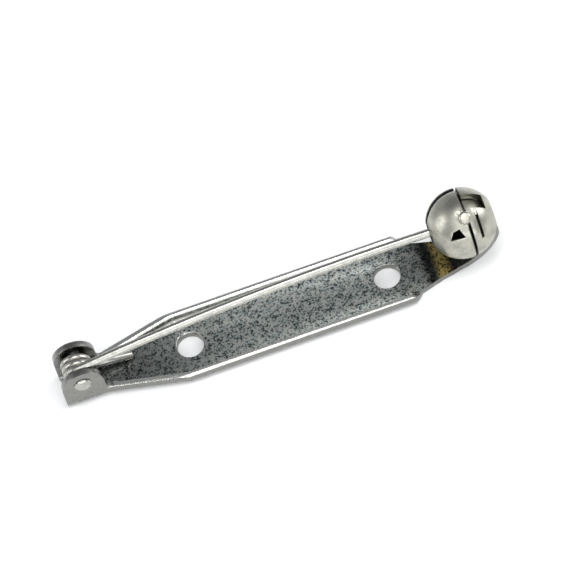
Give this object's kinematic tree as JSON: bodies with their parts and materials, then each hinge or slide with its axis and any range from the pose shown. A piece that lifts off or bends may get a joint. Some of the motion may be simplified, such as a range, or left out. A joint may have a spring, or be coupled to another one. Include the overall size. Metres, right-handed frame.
{
  "type": "brooch pin finding",
  "caption": "Stamped bar pin back with two sewing holes, a riveted coil hinge with a pointed pin stem, and a ball catch whose turning half locks the pin.",
  "frame": {"origin": "on the back face, midway between the two sewing holes", "axes": "+X from the hinge to the catch, along the row of holes; +Z out of the plate towards the pin; +Y across the bar, away from the thumb tab"},
  "size_m": [0.0322, 0.0056, 0.0066],
  "materials": {
    "bar_nickel": "bright nickel plate, mottled and lightly scratched",
    "rivet_nickel": "bright nickel plate",
    "wire_steel": "nickel-plated drawn wire",
    "cap_nickel": "bright nickel plate"
  },
  "bodies": {
    "bar": {"bar": "bar_nickel", "hinge_rivet": "rivet_nickel"},
    "stem": {"pin_stem": "wire_steel"},
    "lock": {"lock_cap": "cap_nickel"}
  },
  "joints": [
    {"name": "stem_swing", "type": "hinge", "parent": "bar", "child": "stem", "pos_m": [-0.01515, 0, 0.00235], "axis": [0, -1, 0], "range_deg": [0, 90]},
    {"name": "lock_turn", "type": "hinge", "parent": "bar", "child": "lock", "pos_m": [0.0132, 0, 0.00375], "axis": [1, 0, 0], "range_deg": [0, 42]}
  ]
}
